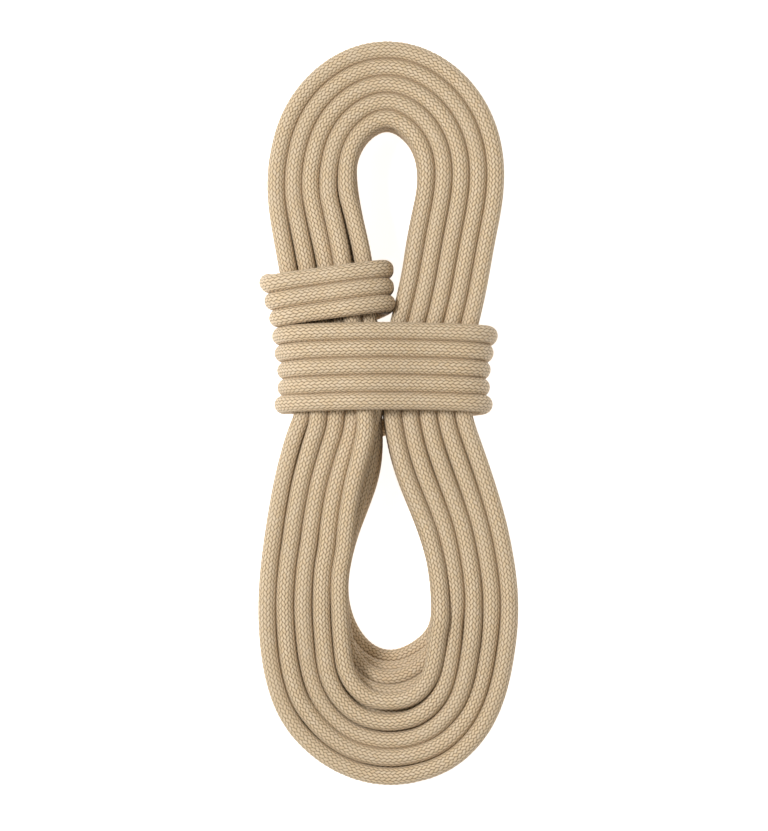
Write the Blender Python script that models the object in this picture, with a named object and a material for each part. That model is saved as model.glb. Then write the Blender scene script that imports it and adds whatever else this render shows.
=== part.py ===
"""A hank of kernmantle rope: one long rope wound into a pinched double loop and bound at its waist.

The hank lies flat on z = 0. +X is across it, +Y runs along it to the small loop's end, +Z is up.
The rope starts in the middle of the bundle, is wound round both loops, then binds the left limb
and both limbs together, and its last end is tucked under the left limb.
"""

import math

import bpy
import numpy as np

# ---- driving dimensions, metres --------------------------------------------------------------
ROPE_D = 0.011          # rope diameter
GAP = 0.0003            # space left between two stretches of rope that touch
HANK_LENGTH = 0.495     # overall, along Y
HANK_WIDTH = 0.172      # overall, along X, at the large loop
SMALL_LOOP_WIDTH = 0.158
SMALL_EYE_WIDTH = 0.042
LARGE_EYE_WIDTH = 0.056
WAIST_WIDTH = 0.112     # both limbs together, under the binding turns
WAIST_Y = 0.029         # middle of the binding turns, from the middle of the hank
WAIST_REACH = 0.2475    # the waist's stations are shares of this along Y, whatever the hank's length
BINDING_TURNS = 5       # round both limbs
LIMB_TURNS = 3          # round the left limb alone
LIMB_TILT = math.radians(7.5)   # the left limb leans, so its turns slope
TAIL = 0.046            # straight end tucked under the left limb
SHEATH_T = 0.0010       # thickness of the braided sheath
END_SEAL = 0.0030       # length of the melted, sealed end

STEP = ROPE_D + GAP     # distance between two stretches that touch
PITCH = STEP * 1.012    # from one binding turn to the next
LIFT = STEP + 0.0024    # how far the binding under it raises the bundle
HALF = HANK_LENGTH / 2
LOOP_BEND = math.radians(15.5)    # bend between two points of the loops' tubes
RING_BEND = math.radians(24)    # and of the binding's
LONGEST = 0.036                 # the longest step between two points
SLICES = 120            # planes through the wound bundle in which the turns are placed

# Each turn's place in the wound bundle as (layer, place from the eye). The winding starts in the
# middle and goes round and outwards, so the last turn lies at the bottom on the outside.
IN_LAYER = (5, 4, 5, 4, 5)
PLACES = ((2, 2), (2, 3), (3, 2), (3, 1), (2, 1), (1, 1), (1, 2),
          (1, 3), (2, 4), (3, 3), (4, 4), (4, 3), (4, 2), (4, 1), (4, 0), (3, 0), (2, 0), (1, 0),
          (0, 0), (0, 1), (0, 2), (0, 3), (0, 4))
TURNS = len(PLACES)

# The bundle's eye edge and outer edge at stations round the loop, as shares: x of the half width
# of that eye and loop, y of the half length, or of the waist's reach. Down the left limb from the
# waist, round the large loop, up the right limb, round the small loop and back.
SMALL = (SMALL_EYE_WIDTH / 2, SMALL_LOOP_WIDTH / 2, HALF)
LARGE = (LARGE_EYE_WIDTH / 2, HANK_WIDTH / 2, HALF)
WAIST = (WAIST_WIDTH / 2, WAIST_WIDTH / 2, WAIST_REACH)
BUNDLE = (
    (WAIST, -0.070, 0.117, -1.020, 0.117),
    (WAIST, -0.080, 0.010, -1.070, 0.014),
    (LARGE, -0.085, -0.110, -0.775, -0.045),
    (LARGE, -0.450, -0.250, -0.880, -0.185),
    (LARGE, -0.850, -0.385, -0.955, -0.340),
    (LARGE, -0.960, -0.480, -0.995, -0.480),
    (LARGE, -0.800, -0.560, -0.975, -0.655),
    (LARGE, -0.400, -0.625, -0.725, -0.885),
    (LARGE, 0.150, -0.645, 0.050, -1.009),
    (LARGE, 0.700, -0.615, 0.760, -0.875),
    (LARGE, 1.030, -0.570, 0.965, -0.680),
    (LARGE, 1.080, -0.500, 1.005, -0.510),
    (LARGE, 0.920, -0.385, 0.950, -0.335),
    (LARGE, 0.500, -0.250, 0.835, -0.185),
    (LARGE, 0.060, -0.115, 0.700, -0.050),
    (WAIST, -0.070, 0.010, 1.000, 0.000),
    (WAIST, -0.040, 0.117, 0.945, 0.117),
    (WAIST, 0.098, 0.265, 1.055, 0.250),
    (SMALL, 0.450, 0.370, 0.825, 0.325),
    (SMALL, 0.660, 0.493, 0.895, 0.455),
    (SMALL, 1.000, 0.640, 0.985, 0.640),
    (SMALL, 0.800, 0.735, 0.765, 0.868),
    (SMALL, 0.000, 0.788, 0.000, 1.003),
    (SMALL, -0.800, 0.735, -0.785, 0.868),
    (SMALL, -1.000, 0.655, -1.010, 0.660),
    (SMALL, -0.690, 0.493, -0.945, 0.455),
    (SMALL, -0.400, 0.355, -0.870, 0.325),
    (WAIST, -0.160, 0.245, -1.125, 0.235),
)

# The last turn leaves the bundle under the left limb and comes round to the first limb turn.
LEAVES_AT_Y = 0.180
LEAD_IN = ((-0.0675, 0.150), (-0.0570, 0.128), (-0.0490, 0.109))
# After the last binding turn the rope turns down under the left limb and ends.
LEAD_OUT = ((0.020, -0.0040), (0.000, -0.0080), (-0.018, -0.0155), (-0.031, -0.0280),
            (-0.0372, -0.0420))
TAIL_X, TAIL_Y = -0.038, -0.0575


# ---- the bundle's outline ---------------------------------------------------------------------
def spline_points(points, closed, per_span):
    """A smooth cubic through the points, with its parameter set by the distance between them."""
    p = np.array(points, float)
    k = len(p)
    spans = k if closed else k - 1
    nxt = np.roll(p, -1, 0)
    half = p.shape[1] // 2
    middle = p if p.shape[1] < 4 else 0.5 * (p[:, :half] + p[:, half:])
    h = np.linalg.norm(np.roll(middle, -1, 0) - middle, axis=1)
    grid, rhs = np.zeros((k, k)), np.zeros_like(p)
    for i in range(k):
        if not closed and i in (0, k - 1):
            grid[i, i] = 1.0
            continue
        grid[i, i] = 2 * (h[i - 1] + h[i])
        grid[i, i - 1] += h[i - 1]
        grid[i, (i + 1) % k] += h[i]
        rhs[i] = 6 * ((nxt[i] - p[i]) / h[i] - (p[i] - p[i - 1]) / h[i - 1])
    bend = np.linalg.solve(grid, rhs)
    parts = []
    for i in range(spans):
        n = (i + 1) % k
        t = np.linspace(0, h[i], per_span, endpoint=False)[:, None]
        u = h[i] - t
        parts.append((bend[i] * u ** 3 + bend[n] * t ** 3) / (6 * h[i])
                     + (p[i] / h[i] - bend[i] * h[i] / 6) * u
                     + (p[n] / h[i] - bend[n] * h[i] / 6) * t)
    line = np.vstack(parts)
    return line if closed else np.vstack([line, p[-1:]])


def along(line):
    """Distance from the start of a line to each of its points."""
    return np.concatenate([[0], np.cumsum(np.linalg.norm(np.diff(line, axis=0), axis=1))])


def resample(line, at, distance=None):
    distance = along(line) if distance is None else distance
    return np.column_stack([np.interp(at, distance, c) for c in line.T])


def outline():
    rows = [(xi * w[0], yi * w[2], xo * w[1], yo * w[2]) for w, xi, yi, xo, yo in BUNDLE]
    fine = spline_points(rows, True, 30)
    fine = np.vstack([fine, fine[:1]])
    middle = along(0.5 * (fine[:, :2] + fine[:, 2:]))
    edge = resample(fine, np.linspace(0, middle[-1], SLICES, endpoint=False), middle)
    for _ in range(3):
        edge = 0.5 * edge + 0.25 * (np.roll(edge, 1, 0) + np.roll(edge, -1, 0))
    inner, outer = edge[:, :2], edge[:, 2:]
    width = np.linalg.norm(outer - inner, axis=1)
    across = (outer - inner) / width[:, None]
    # Widths count square to the rope, where a slice cuts it at a slant.
    heading = np.roll(inner + outer, -1, 0) - np.roll(inner + outer, 1, 0)
    heading /= np.linalg.norm(heading, axis=1)[:, None]
    square = np.abs(across[:, 0] * heading[:, 1] - across[:, 1] * heading[:, 0])
    across, width = across / square[:, None], width * square
    # Five strands side by side always have room.
    short = np.clip(5.05 * STEP - width, 0, None)
    return inner - across * (0.6 * short)[:, None], across, width + short, middle[-1]


# ---- the wound turns --------------------------------------------------------------------------
def ease(x, lo, hi):
    t = np.clip((x - lo) / (hi - lo), 0, 1)
    return t * t * (3 - 2 * t)


def wander(j, seed):
    """A slow wander between -1 and 1 that closes on itself round the loop."""
    t = 2 * np.pi * j / SLICES
    return (0.5 * np.sin(2 * t + 2.4 * seed) + 0.3 * np.sin(3 * t + 4.1 * seed * seed)
            + 0.2 * np.sin(5 * t + 1.7 * seed))


def settle(a, z, planned, square, level, floor, width, step, rounds, soften):
    """Push strands that are nearer than one step apart, keeping each line smooth. square and
    level are how much of a distance across the slice and up it counts, where a strand passes
    the slice at a slant."""
    ii, jj = np.triu_indices(len(a), 1)
    square, level = 0.5 * (square[ii] + square[jj]), 0.5 * (level[ii] + level[jj])
    for turn in range(rounds):
        if turn < soften:
            for line, plan in ((a.reshape(-1), planned.reshape(-1)), (z.reshape(-1), 0.0)):
                off = line - plan
                line[1:-1] += 0.2 * (0.5 * (off[:-2] + off[2:]) - off[1:-1])
        for _ in range(2):
            da, dz = (a[jj] - a[ii]) * square, (z[jj] - z[ii]) * level
            dist = np.hypot(da, dz) + 1e-9
            push = np.clip(step - dist, 0, None) / dist * 0.5
            for line, move, rate in ((a, push * da / square, 0.7), (z, push * dz / level, 0.9)):
                total = np.zeros_like(line)
                np.add.at(total, jj, move)
                np.add.at(total, ii, -move)
                line += rate * total
            z[:] = np.maximum(z, floor + STEP / 2)
            a[:] = np.minimum(np.maximum(a, STEP / 2), width - STEP / 2)


def wound_turns():
    """The middle line of every turn, as (turn, slice, xyz), and the middle of each slice."""
    inner, across, width, length = outline()
    mid_x, mid_y = (inner + across * (width / 2)[:, None]).T
    j = np.arange(SLICES)
    # The binding lifts the bundle by one rope at the waist, and both loops sink to the floor.
    lift = LIFT * ease(mid_y, -0.172, -0.112) * (1 - ease(mid_y, 0.150, 0.205))
    # How far each layer lies outside the one below it, in rope diameters.
    lean = 0.73 * (1 - ease(mid_y, -0.235, -0.09)) + 0.20 * ease(mid_y, 0.12, 0.215)
    lean += 0.20 * (mid_x < 0) * ease(mid_y, -0.09, -0.04) * (1 - ease(mid_y, -0.03, 0.0))
    place_a, place_z = {}, {}
    for layer, n in enumerate(IN_LAYER):
        side = 0.5 * STEP if n == 4 else 0.0
        packed = min(4 - layer, 2) if layer else 2      # strands packed tight against the eye
        fanned = 0.10 * ROPE_D * (1 + wander(j, 0.6 + layer)) * (layer > 2)
        lo = lean * layer * ROPE_D + side * (1 - lean / 0.73) + fanned
        hi = width - side - 0.04 * ROPE_D * abs(layer - 2)
        lo = lo - np.clip(n * STEP - (hi - lo), 0, None)
        slack = np.clip((hi - lo) - n * STEP, 0, None)
        stray = 0.30 if layer > 3 else 0.45     # the top layer lies the most evenly
        for i in range(n):
            share = stray * wander(j, 1.0 + layer * 1.3 + i * 0.7)
            share = (i - packed + share) / (n - 1 - packed)
            here = lo + STEP * (i + 0.5) + slack * np.clip(share, 0, 1)
            # Each strand rests on the ones under it.
            z = lift + STEP / 2
            for q in range(layer):
                for k in range(IN_LAYER[q]):
                    dx = np.abs(here - place_a[q, k])
                    over = place_z[q, k] + np.sqrt(np.clip(STEP ** 2 - dx ** 2, 0, None))
                    z = np.maximum(z, np.where(dx < STEP * 0.9999, over, 0))
            place_a[layer, i], place_z[layer, i] = here, z
    # A turn comes over from the place before it and goes on to the next, under the binding.
    enter = 0.5 * (1 - ease(j, 0, 0.046 / length * SLICES))
    leave = 0.5 * ease(j, SLICES - 0.070 / length * SLICES, SLICES)
    a, z = np.zeros((TURNS, SLICES)), np.zeros((TURNS, SLICES))
    for k, own in enumerate(PLACES):
        before, after = PLACES[max(k - 1, 0)], PLACES[min(k + 1, TURNS - 1)]
        for line, place in ((a, place_a), (z, place_z)):
            line[k] = (place[own] + enter * (place[before] - place[own])
                       + leave * (place[after] - place[own]))
    floor = np.tile(lift, (TURNS, 1))
    floor[-1, (mid_x < 0) & (mid_y > 0.1)] = 0.0
    z[-1, (mid_x < 0) & (mid_y > 0.1)] = STEP / 2
    # Strands that change places or spread into the large loop pass each other at a slant, so
    # they need a little more room.
    spread = ease(mid_y, -0.205, -0.165) * (1 - ease(mid_y, -0.145, -0.105))
    step = STEP * (1.0105 + 0.095 * np.maximum(enter, leave) + 0.065 * spread)
    planned = a.copy()
    for soften in (60, 100, 130):
        flat = inner[None] + a[..., None] * across[None]
        heading = np.gradient(flat.reshape(-1, 2), axis=0).reshape(flat.shape)
        run = np.linalg.norm(heading, axis=2)
        level = run / np.hypot(run, np.gradient(z.reshape(-1)).reshape(z.shape))
        heading /= run[..., None]
        square = np.abs(across[:, 0] * heading[..., 1] - across[:, 1] * heading[..., 0])
        settle(a, z, planned, np.clip(square, 0.6, 1.1), level, floor, width, step, 160, soften)
    flat = inner[None] + a[..., None] * across[None]
    return np.concatenate([flat, z[..., None]], -1), mid_x, mid_y


# ---- the binding turns ------------------------------------------------------------------------
RING = 96               # points worked out round one binding turn


def ring_round(strands, y, tilt, x_left):
    """A closed line round the strands at one height, one step clear of them, from its far left
    over the top."""
    found = []
    for s in strands:
        skew = s[:, 1] - math.tan(tilt) * (s[:, 0] - x_left)
        order = np.argsort(skew)
        for at in y + ROPE_D * np.linspace(-0.5, 0.5, 5):
            if skew[order[0]] < at < skew[order[-1]]:
                found.append([np.interp(at, skew[order], s[order, c]) for c in (0, 2)])
    found = np.array(found)
    angle = np.radians(180 - np.arange(0, 360, 0.5))
    out = np.column_stack([np.cos(angle), np.sin(angle)])
    line = found[(out @ found.T).argmax(1)] + (STEP + 0.0003) * out
    line = np.vstack([line, line[:1]])
    total = along(line)
    ring = resample(line, np.linspace(0, total[-1], RING, endpoint=False), total)
    # A rope rounds its corners: ease them, then let the line out there until it clears the strands.
    for _ in range(8):
        ring = 0.5 * ring + 0.25 * (np.roll(ring, 1, 0) + np.roll(ring, -1, 0))
    for _ in range(3):
        clear = np.linalg.norm(ring[:, None] - found[None], axis=2).min(1)
        push = np.clip(STEP + 0.0009 - clear, 0, None)
        push = np.max([np.roll(push, k) for k in range(-4, 5)], 0)
        push = np.mean([np.roll(push, k) for k in range(-4, 5)], 0)
        heading = np.roll(ring, -1, 0) - np.roll(ring, 1, 0)
        heading /= np.linalg.norm(heading, axis=1)[:, None]
        ring = ring + push[:, None] * np.column_stack([-heading[:, 1], heading[:, 0]])
    return np.roll(ring, -ring[:, 0].argmin(), 0)


def binding(turns, mid_x, mid_y):
    """Middle lines of the lead-in, of each binding turn and of the turn into the tail."""
    near = (mid_y > -0.06) & (mid_y < 0.14)
    early = np.arange(SLICES) < SLICES / 2
    starts, ends = near & (mid_x < 0) & early, near & (mid_x < 0) & ~early
    # Each pass down the left limb ends one turn and starts the next.
    left = [turns[0, starts]]
    left += [np.vstack([turns[k, ends], turns[k + 1, starts]]) for k in range(TURNS - 1)]
    right = list(turns[:, near & (mid_x > 0)])
    x_left = float(np.mean([s[:, 0].mean() for s in left]))
    first = WAIST_Y + (BINDING_TURNS - 1) / 2 * PITCH
    apart = PITCH / math.cos(LIMB_TILT)
    spec = [(left, first + PITCH + apart * (LIMB_TURNS - 1 - w) + 0.0055, LIMB_TILT)
            for w in range(LIMB_TURNS)]
    spec += [(left + right, first - PITCH * w, 0.0) for w in range(BINDING_TURNS)]
    rings = [ring_round(s, y, tilt, x_left) for s, y, tilt in spec]
    lines = []
    for w, (_, y, tilt) in enumerate(spec):
        ring = rings[w]
        last = w == len(spec) - 1
        far = int(ring[:, 0].argmax())
        under = rings[min(w + 1, len(spec) - 1)]
        far_under = int(under[:, 0].argmax())
        line = []
        for i in range(RING + 1 if not last else far + 14):
            x, z = ring[i % RING]
            over = i <= far
            f = 0.0 if over else (i - far) / (RING - far)
            move = float(ease(f, 0.0, 0.75))
            if not over and not last:
                at = far_under + f * (RING - far_under)
                other = under[int(at) % RING]
                step = under[(int(at) + 1) % RING] - other
                other = other + (at - int(at)) * step
                if tilt == spec[w + 1][2]:
                    x, z = (1 - move) * np.array((x, z)) + move * other
                else:
                    # The last limb turn joins the first full turn on the far left.
                    g = float(ease(f, 0.7, 1.0))
                    x, z = (1 - g) * np.array((x, z)) + g * under[i % RING]
            y_own = y + math.tan(tilt) * (x - x_left)
            y_next = y_own - PITCH
            if not last:
                y_next = spec[w + 1][1] + math.tan(spec[w + 1][2]) * (x - x_left)
            bow = 0.003 * math.sin(math.pi * i / far) if over and tilt == 0 else 0.0
            line.append((x, (1 - move) * y_own + move * y_next + bow, z))
        lines.append(np.array(line))
    # The last turn comes in under the left limb and up along the first ring.
    ring, (_, y, tilt) = rings[0], spec[0]
    up = [(x - 0.0014, y + math.tan(tilt) * (x - x_left) + 0.0015, z - 0.0003) for x, z in ring[-12::3]]
    cut = int(np.argmax((mid_x < 0) & (mid_y < LEAVES_AT_Y) & (mid_y > 0.1)))
    floor = [(x, y, STEP / 2) for x, y in LEAD_IN]
    lead = spline_points(list(turns[-1, cut - 2:cut]) + floor + up + [lines[0][0]], False, 8)
    # and goes out from the last binding turn into the tail.
    out = [(x, y, STEP / 2) for x, y in LEAD_OUT] + [(TAIL_X, TAIL_Y + 0.004, STEP / 2)]
    out = spline_points(list(lines[-1][-2:]) + out, False, 8)
    return cut, lead, lines, out


# ---- objects ----------------------------------------------------------------------------------
for old in list(bpy.data.objects):
    bpy.data.objects.remove(old, do_unlink=True)

hank = bpy.data.collections.new("rope_hank")
bpy.context.scene.collection.children.link(hank)


def material(name, colour, roughness):
    made = bpy.data.materials.new(name)
    made.use_nodes = True
    shader = made.node_tree.nodes["Principled BSDF"]
    shader.inputs["Base Color"].default_value = (*colour, 1.0)
    shader.inputs["Roughness"].default_value = roughness
    made.diffuse_color = (*colour, 1.0)
    return made


sheath_tan = material("sheath_tan_braid", (0.55, 0.43, 0.28), 0.75)
core_white = material("core_white_yarn", (0.80, 0.79, 0.74), 0.80)
melted = material("melted_rope_end", (0.30, 0.21, 0.11), 0.35)


def cord(name, line, colour):
    """A length of rope along a line."""
    data = bpy.data.curves.new(name, "CURVE")
    data.dimensions = "3D"
    data.bevel_depth = ROPE_D / 2
    data.bevel_resolution = 2
    data.use_fill_caps = True
    path = data.splines.new("POLY")
    path.points.add(len(line) - 1)
    for point, place in zip(path.points, line):
        point.co = (*place, 1.0)
    data.materials.append(colour)
    made = bpy.data.objects.new(name, data)
    hank.objects.link(made)
    return made


def lathe(name, profile, at, toward, colour, sides=12):
    """A closed ring or disc turned about a line from a place towards a direction."""
    side = np.cross((0.0, 0.0, 1.0), toward)
    side /= np.linalg.norm(side)
    up = np.cross(toward, side)
    verts, faces = [], []
    for radius, far in profile:
        for k in range(sides):
            turn = 2 * math.pi * k / sides
            place = at + toward * far + radius * (math.cos(turn) * side + math.sin(turn) * up)
            verts.append(tuple(place))
    n = len(profile)
    solid = not name.endswith("sheath")
    for i in range(n - 1 if solid else n):
        for k in range(sides):
            a, b = i * sides + k, i * sides + (k + 1) % sides
            c, d = (i + 1) % n * sides + (k + 1) % sides, (i + 1) % n * sides + k
            faces.append((a, b, c, d))
    if solid:
        faces.append(tuple(range(sides))[::-1])
        faces.append(tuple((n - 1) * sides + k for k in range(sides)))
    data = bpy.data.meshes.new(name)
    data.from_pydata(verts, [], faces)
    data.materials.append(colour)
    made = bpy.data.objects.new(name, data)
    hank.objects.link(made)
    return made


def kept(lines, most_turn, longest):
    """Which points to keep of lines that lie side by side: as few as their bends allow."""
    steps = np.diff(np.array(lines), axis=1)
    far = np.linalg.norm(steps, axis=2)
    heading = steps / far[..., None]
    bend = np.arccos(np.clip((heading[:, 1:] * heading[:, :-1]).sum(2), -1, 1)).max(0)
    far = far.mean(0)
    chosen, since, turned = [0], 0.0, 0.0
    for i, more in enumerate(bend, 1):
        since += far[i - 1]
        turned += more
        if turned > most_turn or since + far[i] > longest:
            chosen.append(i)
            since = turned = 0.0
    return np.array(chosen)


turns, mid_x, mid_y = wound_turns()
cut, lead, rounds, lead_out = binding(turns, mid_x, mid_y)

# Strands that lie side by side keep their points side by side.
changing = np.flatnonzero((mid_x < 0) & (np.abs(mid_y - WAIST_Y) < 0.045))
loop = np.union1d(kept([np.column_stack([mid_x, mid_y])], LOOP_BEND, LONGEST), changing[1::2])
ring = kept([line[:, ::2] for line in rounds[LIMB_TURNS:-1]], RING_BEND, LONGEST)
limb_ring = kept([line[:, ::2] for line in rounds[:LIMB_TURNS]], RING_BEND, LONGEST)
pieces = [turn[loop] for turn in turns[:-1]] + [turns[-1, loop[loop < cut - 2]]]
pieces.append(lead[kept([lead], RING_BEND / 2, LONGEST / 2)])
pieces += [line[limb_ring] for line in rounds[:LIMB_TURNS]]
pieces += [line[ring] for line in rounds[LIMB_TURNS:-1]]
pieces += [rounds[-1][ring[ring < len(rounds[-1]) - 3]], lead_out[kept([lead_out], RING_BEND, LONGEST)]]
names = [f"turn_{k + 1:02d}" for k in range(TURNS)] + ["lead_in"]
names += [f"limb_turn_{w + 1}" for w in range(LIMB_TURNS)]
names += [f"binding_turn_{w + 1}" for w in range(BINDING_TURNS)] + ["lead_out"]

# Each named stretch is cut off square, half way between two points of the rope.
start = turns[0, 0]
inwards = (turns[0, 1] - start) / np.linalg.norm(turns[0, 1] - start)
begin = start + inwards * (END_SEAL + 2 * GAP)
tail_top = np.array((TAIL_X, TAIL_Y, STEP / 2))
pieces[0] = pieces[0][1:]
for i, (name, line) in enumerate(zip(names, pieces)):
    if i + 1 < len(pieces):
        ahead = pieces[i + 1][0] - line[-1]
        finish = line[-1] + ahead / 2
        ahead /= np.linalg.norm(ahead)
    else:
        finish, ahead = tail_top, np.array((0.0, -1.0, 0.0))
        line = [*line, tail_top - ahead * 0.004]
    cord(name, [begin, *line, finish - ahead * GAP / 2], sheath_tan)
    begin = finish + ahead * GAP / 2

# The last end: the braided sheath, the core inside it and the melted seal across both. The first
# end has the same seal.
down = np.array((0.0, -1.0, 0.0))
r_out, r_in = ROPE_D / 2, ROPE_D / 2 - SHEATH_T
end = tail_top + down * GAP / 2
lathe("tail_sheath", [(r_out, 0), (r_out, TAIL), (r_in, TAIL), (r_in, 0)], end, down, sheath_tan)
lathe("tail_core", [(r_in - GAP, 0), (r_in - GAP, TAIL)], end, down, core_white)
seal = [(r_out, 0), (r_out, END_SEAL * 0.6), (r_out * 0.8, END_SEAL)]
lathe("tail_end_seal", seal, end + down * (TAIL + GAP), down, melted)
lathe("first_end_seal", seal, start + inwards * (END_SEAL + GAP), -inwards, melted)

# The middle of the base of the whole hank is the origin.
bpy.context.view_layer.update()
graph = bpy.context.evaluated_depsgraph_get()
corners = []
for made in hank.objects:
    shape = made.evaluated_get(graph)
    mesh = shape.to_mesh()
    corners += [tuple(v.co) for v in mesh.vertices]
    shape.to_mesh_clear()
low, high = np.min(corners, axis=0), np.max(corners, axis=0)
shift = (-(low[0] + high[0]) / 2, -(low[1] + high[1]) / 2, -low[2])
for made in hank.objects:
    made.location = shift
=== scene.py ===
import math

import bpy
import numpy as np
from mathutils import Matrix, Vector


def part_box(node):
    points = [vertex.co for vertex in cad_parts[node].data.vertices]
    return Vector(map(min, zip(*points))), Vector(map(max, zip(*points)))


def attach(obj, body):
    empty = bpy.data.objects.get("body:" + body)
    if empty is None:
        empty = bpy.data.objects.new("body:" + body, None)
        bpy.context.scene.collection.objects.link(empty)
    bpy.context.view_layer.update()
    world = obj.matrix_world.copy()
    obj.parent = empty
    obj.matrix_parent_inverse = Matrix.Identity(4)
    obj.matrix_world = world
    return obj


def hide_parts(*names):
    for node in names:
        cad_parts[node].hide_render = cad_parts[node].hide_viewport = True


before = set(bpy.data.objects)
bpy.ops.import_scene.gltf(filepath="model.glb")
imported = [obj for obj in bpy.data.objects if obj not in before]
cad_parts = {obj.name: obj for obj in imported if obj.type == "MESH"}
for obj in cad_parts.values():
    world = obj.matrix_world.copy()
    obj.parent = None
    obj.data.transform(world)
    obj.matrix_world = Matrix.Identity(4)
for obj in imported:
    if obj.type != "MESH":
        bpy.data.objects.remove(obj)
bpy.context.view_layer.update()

# A hank of 11 mm kernmantle rope, lying flat. The rope's line is worked out as in the CAD model,
# smoothed, and clothed with a braid of 32 strands.

# ---- driving dimensions, metres --------------------------------------------------------------
ROPE_D = 0.011          # rope diameter
GAP = 0.0003            # space left between two stretches of rope that touch
HANK_LENGTH = 0.495     # overall, along Y
HANK_WIDTH = 0.172      # overall, along X, at the large loop
SMALL_LOOP_WIDTH = 0.158
SMALL_EYE_WIDTH = 0.042
LARGE_EYE_WIDTH = 0.056
WAIST_WIDTH = 0.112     # both limbs together, under the binding turns
WAIST_Y = 0.029         # middle of the binding turns, from the middle of the hank
WAIST_REACH = 0.2475    # the waist's stations are shares of this along Y, whatever the hank's length
BINDING_TURNS = 5       # round both limbs
LIMB_TURNS = 3          # round the left limb alone
LIMB_TILT = math.radians(7.5)   # the left limb leans, so its turns slope
TAIL = 0.046            # straight end tucked under the left limb
END_SEAL = 0.0030       # length of the melted, sealed end

STEP = ROPE_D + GAP     # distance between two stretches that touch
PITCH = STEP * 1.012    # from one binding turn to the next
LIFT = STEP + 0.0024    # how far the binding under it raises the bundle
HALF = HANK_LENGTH / 2
SLICES = 120            # planes through the wound bundle in which the turns are placed

# Each turn's place in the wound bundle as (layer, place from the eye). The winding starts in the
# middle and goes round and outwards, so the last turn lies at the bottom on the outside.
IN_LAYER = (5, 4, 5, 4, 5)
PLACES = ((2, 2), (2, 3), (3, 2), (3, 1), (2, 1), (1, 1), (1, 2),
          (1, 3), (2, 4), (3, 3), (4, 4), (4, 3), (4, 2), (4, 1), (4, 0), (3, 0), (2, 0), (1, 0),
          (0, 0), (0, 1), (0, 2), (0, 3), (0, 4))
TURNS = len(PLACES)

# The bundle's eye edge and outer edge at stations round the loop, as shares: x of the half width
# of that eye and loop, y of the half length, or of the waist's reach. Down the left limb from the
# waist, round the large loop, up the right limb, round the small loop and back.
SMALL = (SMALL_EYE_WIDTH / 2, SMALL_LOOP_WIDTH / 2, HALF)
LARGE = (LARGE_EYE_WIDTH / 2, HANK_WIDTH / 2, HALF)
WAIST = (WAIST_WIDTH / 2, WAIST_WIDTH / 2, WAIST_REACH)
BUNDLE = (
    (WAIST, -0.070, 0.117, -1.020, 0.117),
    (WAIST, -0.080, 0.010, -1.070, 0.014),
    (LARGE, -0.085, -0.110, -0.775, -0.045),
    (LARGE, -0.450, -0.250, -0.880, -0.185),
    (LARGE, -0.850, -0.385, -0.955, -0.340),
    (LARGE, -0.960, -0.480, -0.995, -0.480),
    (LARGE, -0.800, -0.560, -0.975, -0.655),
    (LARGE, -0.400, -0.625, -0.725, -0.885),
    (LARGE, 0.150, -0.645, 0.050, -1.009),
    (LARGE, 0.700, -0.615, 0.760, -0.875),
    (LARGE, 1.030, -0.570, 0.965, -0.680),
    (LARGE, 1.080, -0.500, 1.005, -0.510),
    (LARGE, 0.920, -0.385, 0.950, -0.335),
    (LARGE, 0.500, -0.250, 0.835, -0.185),
    (LARGE, 0.060, -0.115, 0.700, -0.050),
    (WAIST, -0.070, 0.010, 1.000, 0.000),
    (WAIST, -0.040, 0.117, 0.945, 0.117),
    (WAIST, 0.098, 0.265, 1.055, 0.250),
    (SMALL, 0.450, 0.370, 0.825, 0.325),
    (SMALL, 0.660, 0.493, 0.895, 0.455),
    (SMALL, 1.000, 0.640, 0.985, 0.640),
    (SMALL, 0.800, 0.735, 0.765, 0.868),
    (SMALL, 0.000, 0.788, 0.000, 1.003),
    (SMALL, -0.800, 0.735, -0.785, 0.868),
    (SMALL, -1.000, 0.655, -1.010, 0.660),
    (SMALL, -0.690, 0.493, -0.945, 0.455),
    (SMALL, -0.400, 0.355, -0.870, 0.325),
    (WAIST, -0.160, 0.245, -1.125, 0.235),
)

# The last turn leaves the bundle under the left limb and comes round to the first limb turn.
LEAVES_AT_Y = 0.180
LEAD_IN = ((-0.0675, 0.150), (-0.0570, 0.128), (-0.0490, 0.109))
# After the last binding turn the rope turns down under the left limb and ends.
LEAD_OUT = ((0.020, -0.0040), (0.000, -0.0080), (-0.018, -0.0155), (-0.031, -0.0280),
            (-0.0372, -0.0420))
TAIL_X, TAIL_Y = -0.038, -0.0575


# ---- the bundle's outline ---------------------------------------------------------------------
def spline_points(points, closed, per_span):
    """A smooth cubic through the points, with its parameter set by the distance between them."""
    p = np.array(points, float)
    k = len(p)
    spans = k if closed else k - 1
    nxt = np.roll(p, -1, 0)
    half = p.shape[1] // 2
    middle = p if p.shape[1] < 4 else 0.5 * (p[:, :half] + p[:, half:])
    h = np.linalg.norm(np.roll(middle, -1, 0) - middle, axis=1)
    grid, rhs = np.zeros((k, k)), np.zeros_like(p)
    for i in range(k):
        if not closed and i in (0, k - 1):
            grid[i, i] = 1.0
            continue
        grid[i, i] = 2 * (h[i - 1] + h[i])
        grid[i, i - 1] += h[i - 1]
        grid[i, (i + 1) % k] += h[i]
        rhs[i] = 6 * ((nxt[i] - p[i]) / h[i] - (p[i] - p[i - 1]) / h[i - 1])
    bend = np.linalg.solve(grid, rhs)
    parts = []
    for i in range(spans):
        n = (i + 1) % k
        t = np.linspace(0, h[i], per_span, endpoint=False)[:, None]
        u = h[i] - t
        parts.append((bend[i] * u ** 3 + bend[n] * t ** 3) / (6 * h[i])
                     + (p[i] / h[i] - bend[i] * h[i] / 6) * u
                     + (p[n] / h[i] - bend[n] * h[i] / 6) * t)
    line = np.vstack(parts)
    return line if closed else np.vstack([line, p[-1:]])


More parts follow.
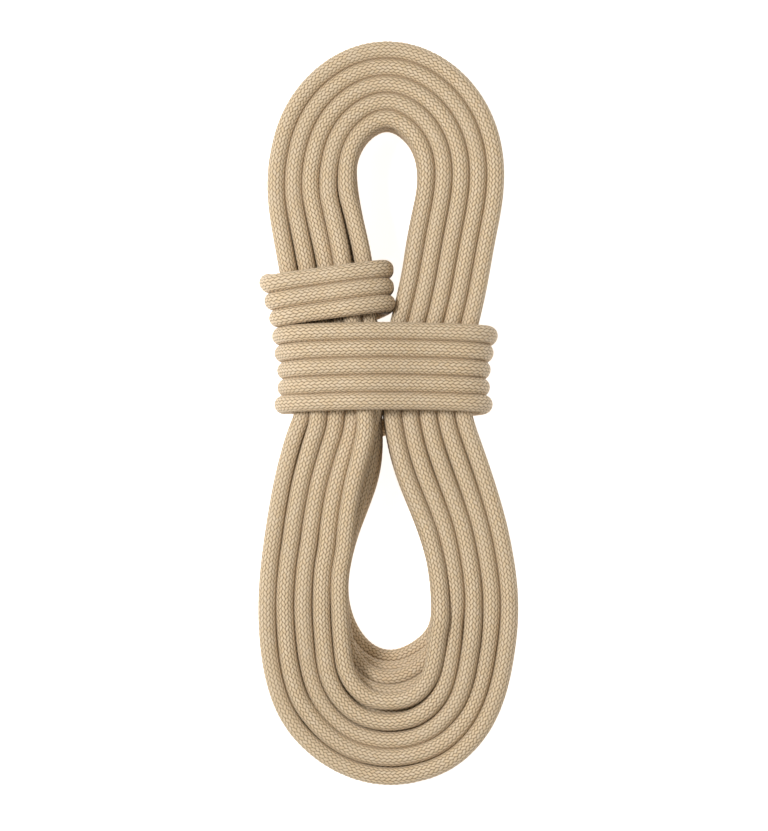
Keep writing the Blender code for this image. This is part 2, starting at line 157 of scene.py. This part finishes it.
def along(line):
    """Distance from the start of a line to each of its points."""
    return np.concatenate([[0], np.cumsum(np.linalg.norm(np.diff(line, axis=0), axis=1))])


def resample(line, at, distance=None):
    distance = along(line) if distance is None else distance
    return np.column_stack([np.interp(at, distance, c) for c in line.T])


def outline():
    rows = [(xi * w[0], yi * w[2], xo * w[1], yo * w[2]) for w, xi, yi, xo, yo in BUNDLE]
    fine = spline_points(rows, True, 30)
    fine = np.vstack([fine, fine[:1]])
    middle = along(0.5 * (fine[:, :2] + fine[:, 2:]))
    edge = resample(fine, np.linspace(0, middle[-1], SLICES, endpoint=False), middle)
    for _ in range(3):
        edge = 0.5 * edge + 0.25 * (np.roll(edge, 1, 0) + np.roll(edge, -1, 0))
    inner, outer = edge[:, :2], edge[:, 2:]
    width = np.linalg.norm(outer - inner, axis=1)
    across = (outer - inner) / width[:, None]
    # Widths count square to the rope, where a slice cuts it at a slant.
    heading = np.roll(inner + outer, -1, 0) - np.roll(inner + outer, 1, 0)
    heading /= np.linalg.norm(heading, axis=1)[:, None]
    square = np.abs(across[:, 0] * heading[:, 1] - across[:, 1] * heading[:, 0])
    across, width = across / square[:, None], width * square
    # Five strands side by side always have room.
    short = np.clip(5.05 * STEP - width, 0, None)
    return inner - across * (0.6 * short)[:, None], across, width + short, middle[-1]


# ---- the wound turns --------------------------------------------------------------------------
def ease(x, lo, hi):
    t = np.clip((x - lo) / (hi - lo), 0, 1)
    return t * t * (3 - 2 * t)


def wander(j, seed):
    """A slow wander between -1 and 1 that closes on itself round the loop."""
    t = 2 * np.pi * j / SLICES
    return (0.5 * np.sin(2 * t + 2.4 * seed) + 0.3 * np.sin(3 * t + 4.1 * seed * seed)
            + 0.2 * np.sin(5 * t + 1.7 * seed))


def settle(a, z, planned, square, level, floor, width, step, rounds, soften):
    """Push strands that are nearer than one step apart, keeping each line smooth. square and
    level are how much of a distance across the slice and up it counts, where a strand passes
    the slice at a slant."""
    ii, jj = np.triu_indices(len(a), 1)
    square, level = 0.5 * (square[ii] + square[jj]), 0.5 * (level[ii] + level[jj])
    for turn in range(rounds):
        if turn < soften:
            for line, plan in ((a.reshape(-1), planned.reshape(-1)), (z.reshape(-1), 0.0)):
                off = line - plan
                line[1:-1] += 0.2 * (0.5 * (off[:-2] + off[2:]) - off[1:-1])
        for _ in range(2):
            da, dz = (a[jj] - a[ii]) * square, (z[jj] - z[ii]) * level
            dist = np.hypot(da, dz) + 1e-9
            push = np.clip(step - dist, 0, None) / dist * 0.5
            for line, move, rate in ((a, push * da / square, 0.7), (z, push * dz / level, 0.9)):
                total = np.zeros_like(line)
                np.add.at(total, jj, move)
                np.add.at(total, ii, -move)
                line += rate * total
            z[:] = np.maximum(z, floor + STEP / 2)
            a[:] = np.minimum(np.maximum(a, STEP / 2), width - STEP / 2)


def wound_turns():
    """The middle line of every turn, as (turn, slice, xyz), and the middle of each slice."""
    inner, across, width, length = outline()
    mid_x, mid_y = (inner + across * (width / 2)[:, None]).T
    j = np.arange(SLICES)
    # The binding lifts the bundle by one rope at the waist, and both loops sink to the floor.
    lift = LIFT * ease(mid_y, -0.172, -0.112) * (1 - ease(mid_y, 0.150, 0.205))
    # How far each layer lies outside the one below it, in rope diameters.
    lean = 0.73 * (1 - ease(mid_y, -0.235, -0.09)) + 0.20 * ease(mid_y, 0.12, 0.215)
    lean += 0.20 * (mid_x < 0) * ease(mid_y, -0.09, -0.04) * (1 - ease(mid_y, -0.03, 0.0))
    place_a, place_z = {}, {}
    for layer, n in enumerate(IN_LAYER):
        side = 0.5 * STEP if n == 4 else 0.0
        packed = min(4 - layer, 2) if layer else 2      # strands packed tight against the eye
        fanned = 0.10 * ROPE_D * (1 + wander(j, 0.6 + layer)) * (layer > 2)
        lo = lean * layer * ROPE_D + side * (1 - lean / 0.73) + fanned
        hi = width - side - 0.04 * ROPE_D * abs(layer - 2)
        lo = lo - np.clip(n * STEP - (hi - lo), 0, None)
        slack = np.clip((hi - lo) - n * STEP, 0, None)
        stray = 0.30 if layer > 3 else 0.45     # the top layer lies the most evenly
        for i in range(n):
            share = stray * wander(j, 1.0 + layer * 1.3 + i * 0.7)
            share = (i - packed + share) / (n - 1 - packed)
            here = lo + STEP * (i + 0.5) + slack * np.clip(share, 0, 1)
            # Each strand rests on the ones under it.
            z = lift + STEP / 2
            for q in range(layer):
                for k in range(IN_LAYER[q]):
                    dx = np.abs(here - place_a[q, k])
                    over = place_z[q, k] + np.sqrt(np.clip(STEP ** 2 - dx ** 2, 0, None))
                    z = np.maximum(z, np.where(dx < STEP * 0.9999, over, 0))
            place_a[layer, i], place_z[layer, i] = here, z
    # A turn comes over from the place before it and goes on to the next, under the binding.
    enter = 0.5 * (1 - ease(j, 0, 0.046 / length * SLICES))
    leave = 0.5 * ease(j, SLICES - 0.070 / length * SLICES, SLICES)
    a, z = np.zeros((TURNS, SLICES)), np.zeros((TURNS, SLICES))
    for k, own in enumerate(PLACES):
        before, after = PLACES[max(k - 1, 0)], PLACES[min(k + 1, TURNS - 1)]
        for line, place in ((a, place_a), (z, place_z)):
            line[k] = (place[own] + enter * (place[before] - place[own])
                       + leave * (place[after] - place[own]))
    floor = np.tile(lift, (TURNS, 1))
    floor[-1, (mid_x < 0) & (mid_y > 0.1)] = 0.0
    z[-1, (mid_x < 0) & (mid_y > 0.1)] = STEP / 2
    # Strands that change places or spread into the large loop pass each other at a slant, so
    # they need a little more room.
    spread = ease(mid_y, -0.205, -0.165) * (1 - ease(mid_y, -0.145, -0.105))
    step = STEP * (1.0105 + 0.095 * np.maximum(enter, leave) + 0.065 * spread)
    planned = a.copy()
    for soften in (60, 100, 130):
        flat = inner[None] + a[..., None] * across[None]
        heading = np.gradient(flat.reshape(-1, 2), axis=0).reshape(flat.shape)
        run = np.linalg.norm(heading, axis=2)
        level = run / np.hypot(run, np.gradient(z.reshape(-1)).reshape(z.shape))
        heading /= run[..., None]
        square = np.abs(across[:, 0] * heading[..., 1] - across[:, 1] * heading[..., 0])
        settle(a, z, planned, np.clip(square, 0.6, 1.1), level, floor, width, step, 160, soften)
    flat = inner[None] + a[..., None] * across[None]
    return np.concatenate([flat, z[..., None]], -1), mid_x, mid_y


# ---- the binding turns ------------------------------------------------------------------------
RING = 96               # points worked out round one binding turn


def ring_round(strands, y, tilt, x_left):
    """A closed line round the strands at one height, one step clear of them, from its far left
    over the top."""
    found = []
    for s in strands:
        skew = s[:, 1] - math.tan(tilt) * (s[:, 0] - x_left)
        order = np.argsort(skew)
        for at in y + ROPE_D * np.linspace(-0.5, 0.5, 5):
            if skew[order[0]] < at < skew[order[-1]]:
                found.append([np.interp(at, skew[order], s[order, c]) for c in (0, 2)])
    found = np.array(found)
    angle = np.radians(180 - np.arange(0, 360, 0.5))
    out = np.column_stack([np.cos(angle), np.sin(angle)])
    line = found[(out @ found.T).argmax(1)] + (STEP + 0.0003) * out
    line = np.vstack([line, line[:1]])
    total = along(line)
    ring = resample(line, np.linspace(0, total[-1], RING, endpoint=False), total)
    # A rope rounds its corners: ease them, then let the line out there until it clears the strands.
    for _ in range(8):
        ring = 0.5 * ring + 0.25 * (np.roll(ring, 1, 0) + np.roll(ring, -1, 0))
    for _ in range(3):
        clear = np.linalg.norm(ring[:, None] - found[None], axis=2).min(1)
        push = np.clip(STEP + 0.0009 - clear, 0, None)
        push = np.max([np.roll(push, k) for k in range(-4, 5)], 0)
        push = np.mean([np.roll(push, k) for k in range(-4, 5)], 0)
        heading = np.roll(ring, -1, 0) - np.roll(ring, 1, 0)
        heading /= np.linalg.norm(heading, axis=1)[:, None]
        ring = ring + push[:, None] * np.column_stack([-heading[:, 1], heading[:, 0]])
    return np.roll(ring, -ring[:, 0].argmin(), 0)


def binding(turns, mid_x, mid_y):
    """Middle lines of the lead-in, of each binding turn and of the turn into the tail."""
    near = (mid_y > -0.06) & (mid_y < 0.14)
    early = np.arange(SLICES) < SLICES / 2
    starts, ends = near & (mid_x < 0) & early, near & (mid_x < 0) & ~early
    # Each pass down the left limb ends one turn and starts the next.
    left = [turns[0, starts]]
    left += [np.vstack([turns[k, ends], turns[k + 1, starts]]) for k in range(TURNS - 1)]
    right = list(turns[:, near & (mid_x > 0)])
    x_left = float(np.mean([s[:, 0].mean() for s in left]))
    first = WAIST_Y + (BINDING_TURNS - 1) / 2 * PITCH
    apart = PITCH / math.cos(LIMB_TILT)
    spec = [(left, first + PITCH + apart * (LIMB_TURNS - 1 - w) + 0.0055, LIMB_TILT)
            for w in range(LIMB_TURNS)]
    spec += [(left + right, first - PITCH * w, 0.0) for w in range(BINDING_TURNS)]
    rings = [ring_round(s, y, tilt, x_left) for s, y, tilt in spec]
    lines = []
    for w, (_, y, tilt) in enumerate(spec):
        ring = rings[w]
        last = w == len(spec) - 1
        far = int(ring[:, 0].argmax())
        under = rings[min(w + 1, len(spec) - 1)]
        far_under = int(under[:, 0].argmax())
        line = []
        for i in range(RING + 1 if not last else far + 14):
            x, z = ring[i % RING]
            over = i <= far
            f = 0.0 if over else (i - far) / (RING - far)
            move = float(ease(f, 0.0, 0.75))
            if not over and not last:
                at = far_under + f * (RING - far_under)
                other = under[int(at) % RING]
                step = under[(int(at) + 1) % RING] - other
                other = other + (at - int(at)) * step
                if tilt == spec[w + 1][2]:
                    x, z = (1 - move) * np.array((x, z)) + move * other
                else:
                    # The last limb turn joins the first full turn on the far left.
                    g = float(ease(f, 0.7, 1.0))
                    x, z = (1 - g) * np.array((x, z)) + g * under[i % RING]
            y_own = y + math.tan(tilt) * (x - x_left)
            y_next = y_own - PITCH
            if not last:
                y_next = spec[w + 1][1] + math.tan(spec[w + 1][2]) * (x - x_left)
            bow = 0.003 * math.sin(math.pi * i / far) if over and tilt == 0 else 0.0
            line.append((x, (1 - move) * y_own + move * y_next + bow, z))
        lines.append(np.array(line))
    # The last turn comes in under the left limb and up along the first ring.
    ring, (_, y, tilt) = rings[0], spec[0]
    up = [(x - 0.0014, y + math.tan(tilt) * (x - x_left) + 0.0015, z - 0.0003) for x, z in ring[-12::3]]
    cut = int(np.argmax((mid_x < 0) & (mid_y < LEAVES_AT_Y) & (mid_y > 0.1)))
    floor = [(x, y, STEP / 2) for x, y in LEAD_IN]
    lead = spline_points(list(turns[-1, cut - 2:cut]) + floor + up + [lines[0][0]], False, 8)
    # and goes out from the last binding turn into the tail.
    out = [(x, y, STEP / 2) for x, y in LEAD_OUT] + [(TAIL_X, TAIL_Y + 0.004, STEP / 2)]
    out = spline_points(list(lines[-1][-2:]) + out, False, 8)
    return cut, lead, lines, out


# ---- the rope's line --------------------------------------------------------------------------
TAIL_FROM = 0.93        # from this share of its length on, the rope keeps its bends
LARGE_EYE_MIDDLE = (0.002, -0.165)
LEAN_IN = 0.0011        # how far two strands lean in at the large loop's end


def smoothed(line, sigma, at=0.001):
    """The line at even steps, rounded over a few millimetres without pulling it inwards."""
    total = along(line)
    line = resample(line, np.arange(0, total[-1], at), total)
    reach = int(3 * sigma / at)
    bell = np.exp(-0.5 * (np.arange(-reach, reach + 1) * at / sigma) ** 2)
    bell /= bell.sum()

    def blur(p):
        out = []
        for c in p.T:
            ends = np.concatenate([2 * c[0] - c[reach:0:-1], c, 2 * c[-1] - c[-2:-reach - 2:-1]])
            out.append(np.convolve(ends, bell, "valid"))
        return np.column_stack(out)

    once = blur(line)
    return once + blur(line - once)


turns, mid_x, mid_y = wound_turns()
cut, lead, rounds, lead_out = binding(turns, mid_x, mid_y)
wound = np.vstack([turns[:-1].reshape(-1, 3), turns[-1, :cut - 2]])
bound = np.vstack([lead[:-1]] + [line[:-1] for line in rounds[:-1]] + [rounds[-1][:-2], lead_out])
straight = [(TAIL_X, TAIL_Y - TAIL * f, STEP / 2) for f in (0.25, 0.5, 0.75, 1.0)]
bound = np.vstack([bound, [(TAIL_X, TAIL_Y, STEP / 2)], straight])
rope = np.vstack([wound, bound])
drawn_at = along(rope)

# The CAD model's own place: its tail is at a known point of the line.
low, high = (np.array(p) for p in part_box("tail_sheath"))
shift = np.array([(low[0] + high[0]) / 2 - TAIL_X, high[1] - (TAIL_Y - GAP / 2),
                  (low[2] + high[2]) / 2 - STEP / 2])
rope = smoothed(rope + shift, 0.0035)

# Below the binding the left limb's strands run out nearly straight.
loose = smoothed(rope, 0.016)
count = min(len(rope), len(loose))
rope, loose = rope[:count], loose[:count]
run_out = ease(rope[:, 1], -0.095, -0.055) * (1 - ease(rope[:, 1], -0.030, -0.004))
run_out *= (rope[:, 0] < 0) * (along(rope) < TAIL_FROM * along(rope)[-1])
rope[:, :2] += run_out[:, None] * (loose[:, :2] - rope[:, :2])

# At the large loop's end the two outer strands of the top layer lean in on the third.
from_eye = rope[:, :2] - LARGE_EYE_MIDDLE
far = np.linalg.norm(from_eye, axis=1)
lean_in = ease(far, 0.056, 0.061) * ease(-rope[:, 1], 0.185, 0.205) * ease(rope[:, 2], 0.040, 0.046)
lean_in *= 1 - ease(np.abs(rope[:, 0] + 0.015), 0.030, 0.060)
rope[:, :2] -= (LEAN_IN * lean_in / far)[:, None] * from_eye
rope[:, 2] = np.maximum(rope[:, 2], ROPE_D / 2 + 0.0002)
rope_at = along(rope)
LENGTH = rope_at[-1]

# Where each turn and the binding begin, in metres from the first end.
turn_at = [drawn_at[k * SLICES] / drawn_at[-1] * LENGTH for k in range(TURNS)]
bind_at = drawn_at[len(wound)] / drawn_at[-1] * LENGTH


# ---- the braid --------------------------------------------------------------------------------
FLOATS = 16             # columns of floats round the rope, 32 carriers in all
PITCH_L = 0.00360       # from one float of a column to the next
CREST = ROPE_D / 2 + 0.00055
RELIEF = 0.00060        # from a float's crown down to where it dives under
EDGE = 0.52             # height at a float's long edges, as a share of its crown's
END = 0.10              # and at its ends
FALL = 2.4              # how round the crown is, side to side
DIVE = 0.6              # and end to end
SIDES = 32


def braid_height(u, s):
    """The braid's height from 0 to 1, u turns round the rope and s metres along it. Each strand
    passes over two and under two."""
    a, b = FLOATS * u + s / PITCH_L, FLOATS * u - s / PITCH_L
    fa, fb = a - np.floor(a), b - np.floor(b)
    column = np.mod(np.floor(a) + np.floor(b), 4)
    other = column >= 2
    across = np.where(other, fb, fa)
    length = (np.mod(column, 2) + np.where(other, fa, fb)) / 2
    crown = 1 - np.abs(2 * across - 1) ** FALL
    dive = np.sin(np.pi * np.clip(length, 0, 1)) ** DIVE
    return (EDGE + (1 - EDGE) * crown) * (END + (1 - END) * dive)


def sides_of(line):
    """A direction square to the line at each of its points, without twist."""
    ahead = np.gradient(line, axis=0)
    ahead /= np.linalg.norm(ahead, axis=1)[:, None]
    side = np.empty_like(line)
    side[0] = np.cross(ahead[0], (0, 0, 1.0))
    for i in range(1, len(line)):
        s = side[i - 1] - ahead[i] * (side[i - 1] @ ahead[i])
        side[i] = s / np.sqrt(s @ s)
    side[0] /= np.linalg.norm(side[0])
    return side


rope_side = sides_of(rope)


def tube(name, begin, finish, step, sides, closed_start, closed_end):
    """One stretch of the rope as a mesh with the braid raised on it."""
    count = max(8, int(round((finish - begin) / step)))
    at = np.linspace(begin, finish, count + 1)
    line = resample(rope, at, rope_at)
    ahead = resample(np.gradient(rope, axis=0), at, rope_at)
    ahead /= np.linalg.norm(ahead, axis=1)[:, None]
    side = resample(rope_side, at, rope_at)
    side -= ahead * (side * ahead).sum(1)[:, None]
    side /= np.linalg.norm(side, axis=1)[:, None]
    up = np.cross(ahead, side)
    u = np.arange(sides) / sides
    h = braid_height(u[None, :], at[:, None])
    r = CREST - RELIEF * (1 - h)
    angle = 2 * np.pi * u
    out = np.cos(angle)[None, :, None] * side[:, None] + np.sin(angle)[None, :, None] * up[:, None]
    verts = (line[:, None] + r[..., None] * out).reshape(-1, 3)
    i, k = np.meshgrid(np.arange(count), np.arange(sides), indexing="ij")
    n = (k + 1) % sides
    quads = np.stack([i * sides + k, i * sides + n, (i + 1) * sides + n, (i + 1) * sides + k], -1)
    quads = quads.reshape(-1, 4)
    caps = []
    if closed_start:
        caps.append(np.arange(sides)[::-1])
    if closed_end:
        caps.append(count * sides + np.arange(sides))
    loops = np.concatenate([quads.reshape(-1)] + caps)
    starts = np.concatenate([np.arange(len(quads)) * 4,
                             len(quads) * 4 + np.arange(len(caps)) * sides])
    data = bpy.data.meshes.new(name)
    data.vertices.add(len(verts))
    data.vertices.foreach_set("co", verts.astype(np.float32).reshape(-1))
    data.loops.add(len(loops))
    data.loops.foreach_set("vertex_index", loops.astype(np.int32))
    data.polygons.add(len(starts))
    data.polygons.foreach_set("loop_start", starts.astype(np.int32))
    data.update(calc_edges=True)
    # u round the rope and the distance along it, for the yarn.
    uv = np.zeros((len(loops), 2), np.float32)
    lu = np.stack([k, k + 1, k + 1, k], -1).reshape(-1) / sides
    ls = at[np.stack([i, i, i + 1, i + 1], -1).reshape(-1)]
    uv[:len(lu), 0], uv[:len(lu), 1] = lu, ls
    data.uv_layers.new(name="rope").data.foreach_set("uv", uv.reshape(-1))
    # The same surface laid out in rows, each a strip of the rope, to fill a square.
    around = 2 * np.pi * CREST
    rows = max(1, int(round(math.sqrt((finish - begin) / around))))
    share = np.stack([i, i, i + 1, i + 1], -1).reshape(-1) / count
    row = np.minimum((np.repeat(i.reshape(-1), 4) / count * rows).astype(int), rows - 1)
    lay = np.zeros((len(loops), 2), np.float32)
    lay[:len(lu), 0] = 0.004 + 0.992 * (share * rows - row) * 0.995
    lay[:len(lu), 1] = (row + 0.03 + 0.94 * lu) / rows
    data.uv_layers.new(name="OFBake").data.foreach_set("uv", lay.reshape(-1))
    data.uv_layers["rope"].active_render = True
    data.polygons.foreach_set("use_smooth", np.ones(len(data.polygons), bool))
    made = bpy.data.objects.new(name, data)
    bpy.context.scene.collection.objects.link(made)
    return made, line


# ---- materials --------------------------------------------------------------------------------
YARN_LIGHT = (0.76, 0.63, 0.465)
YARN_DARK = (0.60, 0.465, 0.30)
YARN_WARM = (0.64, 0.45, 0.23)
YARN_GREY = (0.52, 0.42, 0.30)
# painted shade: the deep brown given to the hollows where a float dives under its neighbour
YARN_PIT_PAINTED_SHADE = (0.105, 0.050, 0.010)


class Nodes:
    """Small helper for building a material's nodes."""

    def __init__(self, name):
        self.mat = bpy.data.materials.new(name)
        self.mat.use_nodes = True
        self.tree = self.mat.node_tree
        self.shader = self.tree.nodes["Principled BSDF"]

    def add(self, kind, **settings):
        node = self.tree.nodes.new(kind)
        for key, value in settings.items():
            setattr(node, key, value)
        return node

    def feed(self, socket, value):
        if isinstance(value, bpy.types.NodeSocket):
            self.tree.links.new(value, socket)
        else:
            socket.default_value = value

    def math(self, op, *values, clamp=False):
        node = self.add("ShaderNodeMath", operation=op, use_clamp=clamp)
        for socket, value in zip(node.inputs, values):
            self.feed(socket, value)
        return node.outputs[0]

    def blend(self, amount, first, second):
        node = self.add("ShaderNodeMix", data_type="FLOAT")
        self.feed(node.inputs[0], amount)
        self.feed(node.inputs[2], first)
        self.feed(node.inputs[3], second)
        return node.outputs[0]

    def colour(self, amount, first, second, kind="MIX"):
        node = self.add("ShaderNodeMix", data_type="RGBA", blend_type=kind)
        self.feed(node.inputs[0], amount)
        for socket, value in ((node.inputs[6], first), (node.inputs[7], second)):
            self.feed(socket, value if isinstance(value, bpy.types.NodeSocket) else (*value, 1.0))
        return node.outputs[2]

    def steps(self, value, low, high, out_low=0.0, out_high=1.0):
        node = self.add("ShaderNodeMapRange", interpolation_type="SMOOTHSTEP")
        for socket, v in zip(node.inputs[:5], (value, low, high, out_low, out_high)):
            self.feed(socket, v)
        return node.outputs[0]

    def vector(self, x, y, z):
        node = self.add("ShaderNodeCombineXYZ")
        for socket, value in zip(node.inputs, (x, y, z)):
            self.feed(socket, value)
        return node.outputs[0]

    def noise(self, vector, scale, detail=2.0, rough=0.5):
        node = self.add("ShaderNodeTexNoise")
        self.feed(node.inputs["Vector"], vector)
        node.inputs["Scale"].default_value = scale
        node.inputs["Detail"].default_value = detail
        node.inputs["Roughness"].default_value = rough
        return node.outputs["Fac"]


def braid_material():
    n = Nodes("tan_braided_sheath")
    uv = n.add("ShaderNodeUVMap", uv_map="rope")
    split = n.add("ShaderNodeSeparateXYZ")
    n.feed(split.inputs[0], uv.outputs[0])
    u, s = split.outputs[0], split.outputs[1]
    round_ = n.math("MULTIPLY", u, float(FLOATS))
    along_ = n.math("DIVIDE", s, PITCH_L)
    a, b = n.math("ADD", round_, along_), n.math("SUBTRACT", round_, along_)
    ia, ib = n.math("FLOOR", a), n.math("FLOOR", b)
    fa, fb = n.math("SUBTRACT", a, ia), n.math("SUBTRACT", b, ib)
    column = n.math("FLOORED_MODULO", n.math("ADD", ia, ib), 4.0)
    other = n.math("GREATER_THAN", column, 1.5)
    second = n.math("FLOORED_MODULO", column, 2.0)
    across = n.blend(other, fa, fb)
    length = n.math("MULTIPLY", n.math("ADD", second, n.blend(other, fb, fa)), 0.5)
    side = n.math("ABSOLUTE", n.math("SUBTRACT", n.math("MULTIPLY", across, 2.0), 1.0))
    crown = n.math("SUBTRACT", 1.0, n.math("POWER", side, FALL))
    dive = n.math("POWER", n.math("SINE", n.math("MULTIPLY", length, math.pi)), DIVE)
    height = n.math("MULTIPLY", n.math("ADD", EDGE, n.math("MULTIPLY", crown, 1 - EDGE)),
                    n.math("ADD", END, n.math("MULTIPLY", dive, 1 - END)))
    # Each float is a bundle of fine fibres laid along it, a little different from the next.
    own = n.blend(other, ia, ib)
    step = n.blend(other, n.math("SUBTRACT", ib, second), n.math("SUBTRACT", ia, second))
    white = n.add("ShaderNodeTexWhiteNoise", noise_dimensions="3D")
    n.feed(white.inputs["Vector"], n.vector(own, step, n.math("MULTIPLY", other, 7.0)))
    chance = white.outputs["Value"]
    fibres = n.noise(n.vector(n.math("MULTIPLY", across, 6.0), length,
                              n.math("MULTIPLY", own, 3.7)), 1.6, 2.0, 0.6)
    patch = n.noise(n.vector(n.math("MULTIPLY", u, 1.0), n.math("MULTIPLY", s, 9.0), 3.0),
                    1.0, 3.0, 0.6)
    # Colour: pale where the yarn stands up; painted shade, deep brown, where it dives under its
    # neighbour
    # Mask for the painted shade: strongest at a float's ends, milder along its long edges, where the
    # braid's height is low
    pit_painted_shade = n.steps(height, 0.16, 0.76)
    yarn = n.colour(n.steps(fibres, 0.3, 0.7), YARN_DARK, YARN_LIGHT)
    yarn = n.colour(n.math("MULTIPLY", chance, 0.35), yarn, YARN_WARM)
    body = n.colour(pit_painted_shade, YARN_PIT_PAINTED_SHADE, yarn)
    worn = n.colour(n.steps(patch, 0.35, 0.7, 0.0, 0.22), body, YARN_GREY)
    n.feed(n.shader.inputs["Base Color"], worn)
    rough = n.blend(pit_painted_shade, 0.85, n.math("ADD", 0.50, n.math("MULTIPLY", fibres, 0.15)))
    n.feed(n.shader.inputs["Roughness"], rough)
    n.shader.inputs["Specular IOR Level"].default_value = 0.35
    n.shader.inputs["Sheen Weight"].default_value = 0.12
    n.shader.inputs["Sheen Roughness"].default_value = 0.5
    n.shader.inputs["Sheen Tint"].default_value = (1.0, 0.93, 0.82, 1.0)
    bump = n.add("ShaderNodeBump")
    bump.inputs["Strength"].default_value = 0.75
    bump.inputs["Distance"].default_value = 0.0005
    n.feed(bump.inputs["Height"], n.math("ADD", height, n.math("MULTIPLY", fibres, 0.20)))
    n.feed(n.shader.inputs["Normal"], bump.outputs[0])
    return n.mat


def core_material():
    n = Nodes("white_core_yarn")
    place = n.add("ShaderNodeTexCoord").outputs["Object"]
    wave = n.add("ShaderNodeTexWave", wave_type="BANDS", bands_direction="DIAGONAL")
    n.feed(wave.inputs["Vector"], place)
    wave.inputs["Scale"].default_value = 260.0
    wave.inputs["Distortion"].default_value = 1.5
    grain = n.noise(place, 1800.0)
    n.feed(n.shader.inputs["Base Color"],
           n.colour(wave.outputs["Fac"], (0.62, 0.60, 0.54), (0.84, 0.83, 0.78)))
    n.shader.inputs["Roughness"].default_value = 0.8
    bump = n.add("ShaderNodeBump")
    bump.inputs["Distance"].default_value = 0.0004
    n.feed(bump.inputs["Height"], n.math("ADD", wave.outputs["Fac"], grain))
    n.feed(n.shader.inputs["Normal"], bump.outputs[0])
    return n.mat


def melted_material():
    n = Nodes("melted_nylon")
    place = n.add("ShaderNodeTexCoord").outputs["Object"]
    cloud = n.noise(place, 420.0, 4.0, 0.6)
    n.feed(n.shader.inputs["Base Color"],
           n.colour(n.steps(cloud, 0.35, 0.65), (0.16, 0.09, 0.04), (0.42, 0.29, 0.16)))
    n.feed(n.shader.inputs["Roughness"], n.steps(cloud, 0.3, 0.7, 0.22, 0.45))
    bump = n.add("ShaderNodeBump")
    bump.inputs["Distance"].default_value = 0.0006
    n.feed(bump.inputs["Height"], cloud)
    n.feed(n.shader.inputs["Normal"], bump.outputs[0])
    return n.mat


# ---- camera and light -------------------------------------------------------------------------
MIDDLE_Z = 0.045
FRAME_W = 0.5122        # what the picture's width takes in at the hank's mid height
HIGH = 2.4
camera = bpy.data.objects.new("camera", bpy.data.cameras.new("camera"))
bpy.context.scene.collection.objects.link(camera)
camera.location = (-0.0028, -0.0004, MIDDLE_Z + HIGH)
camera.data.sensor_fit = "HORIZONTAL"
camera.data.sensor_width = 36.0
camera.data.lens = 36.0 * HIGH / FRAME_W
camera.data.clip_end = 20
bpy.context.scene.camera = camera

world = bpy.data.worlds.new("studio")
bpy.context.scene.world = world
world.use_nodes = True
world.node_tree.nodes["Background"].inputs["Color"].default_value = (1.0, 0.945, 0.86, 1)
world.node_tree.nodes["Background"].inputs["Strength"].default_value = 0.38


def lamp(name, place, aim, size, power):
    data = bpy.data.lights.new(name, "AREA")
    data.shape, data.size, data.energy = "DISK", size, power
    made = bpy.data.objects.new(name, data)
    bpy.context.scene.collection.objects.link(made)
    way = np.array(aim, float) - np.array(place, float)
    way /= np.linalg.norm(way)
    made.location = place
    made.rotation_euler = (math.acos(-way[2]), 0, math.atan2(-way[0], way[1]))
    return made


lamp("key", (-0.85, 0.30, 1.70), (0, 0, 0), 0.5, 29)
lamp("fill", (0.9, -0.6, 1.9), (0, 0, 0), 1.2, 4)

floor_mesh = bpy.data.meshes.new("floor")
floor_mesh.from_pydata([(-4, -4, 0), (4, -4, 0), (4, 4, 0), (-4, 4, 0)], [], [(0, 1, 2, 3)])
floor = bpy.data.objects.new("floor", floor_mesh)
bpy.context.scene.collection.objects.link(floor)
paper = Nodes("pale_floor")
grain = paper.noise(paper.add("ShaderNodeTexCoord").outputs["Object"], 60.0)
paper.feed(paper.shader.inputs["Base Color"],
           paper.colour(grain, (0.93, 0.93, 0.93), (0.95, 0.95, 0.95)))
paper.shader.inputs["Roughness"].default_value = 0.9
paper.shader.inputs["Emission Color"].default_value = (1, 1, 1, 1)
paper.shader.inputs["Emission Strength"].default_value = 0.78
floor.data.materials.append(paper.mat)
floor.location.z = -0.0003
bpy.context.scene.view_settings.view_transform = "Standard"

# ---- the rope ---------------------------------------------------------------------------------
FINE, PLAIN = PITCH_L / 3, PITCH_L / 2
sheath = braid_material()
stops = turn_at + [bind_at, LENGTH]
first = END_SEAL + 0.0006       # the sheath begins behind the melted end
PIECES = (
    ("rope_turns_1_to_4", 0, 4, PLAIN, ["turn_01", "turn_02", "turn_03", "turn_04"]),
    ("rope_turns_5_to_7", 4, 7, PLAIN, ["turn_05", "turn_06", "turn_07"]),
    ("rope_turns_8_to_10", 7, 10, FINE, ["turn_08", "turn_09", "turn_10"]),
    ("rope_turns_11_to_13", 10, 13, FINE, ["turn_11", "turn_12", "turn_13"]),
    ("rope_turns_14_to_16", 13, 16, FINE, ["turn_14", "turn_15", "turn_16"]),
    ("rope_turns_17_to_19", 16, 19, FINE, ["turn_17", "turn_18", "turn_19"]),
    ("rope_turns_20_to_22", 19, 22, PLAIN, ["turn_20", "turn_21", "turn_22"]),
    ("rope_turn_23", 22, 23, FINE, ["turn_23"]),
    ("rope_binding_and_tail", 23, 24, FINE,
     ["lead_in", "limb_turn_1", "limb_turn_2", "limb_turn_3", "binding_turn_1",
      "binding_turn_2", "binding_turn_3", "binding_turn_4", "binding_turn_5", "lead_out",
      "tail_sheath"]),
)
for name, begin, finish, step, nodes in PIECES:
    at, to = max(stops[begin], first), stops[finish]
    piece, line = tube(name, at, to, step, SIDES, begin == 0, finish == 24)
    piece.data.materials.append(sheath)
    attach(piece, "root")
    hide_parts(*nodes)

core, seal, first_seal = (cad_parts[n] for n in ("tail_core", "tail_end_seal", "first_end_seal"))

white, melted = core_material(), melted_material()
for node, look in ((core, white), (seal, melted), (first_seal, melted)):
    for k in range(len(node.material_slots)):
        node.material_slots[k].material = look
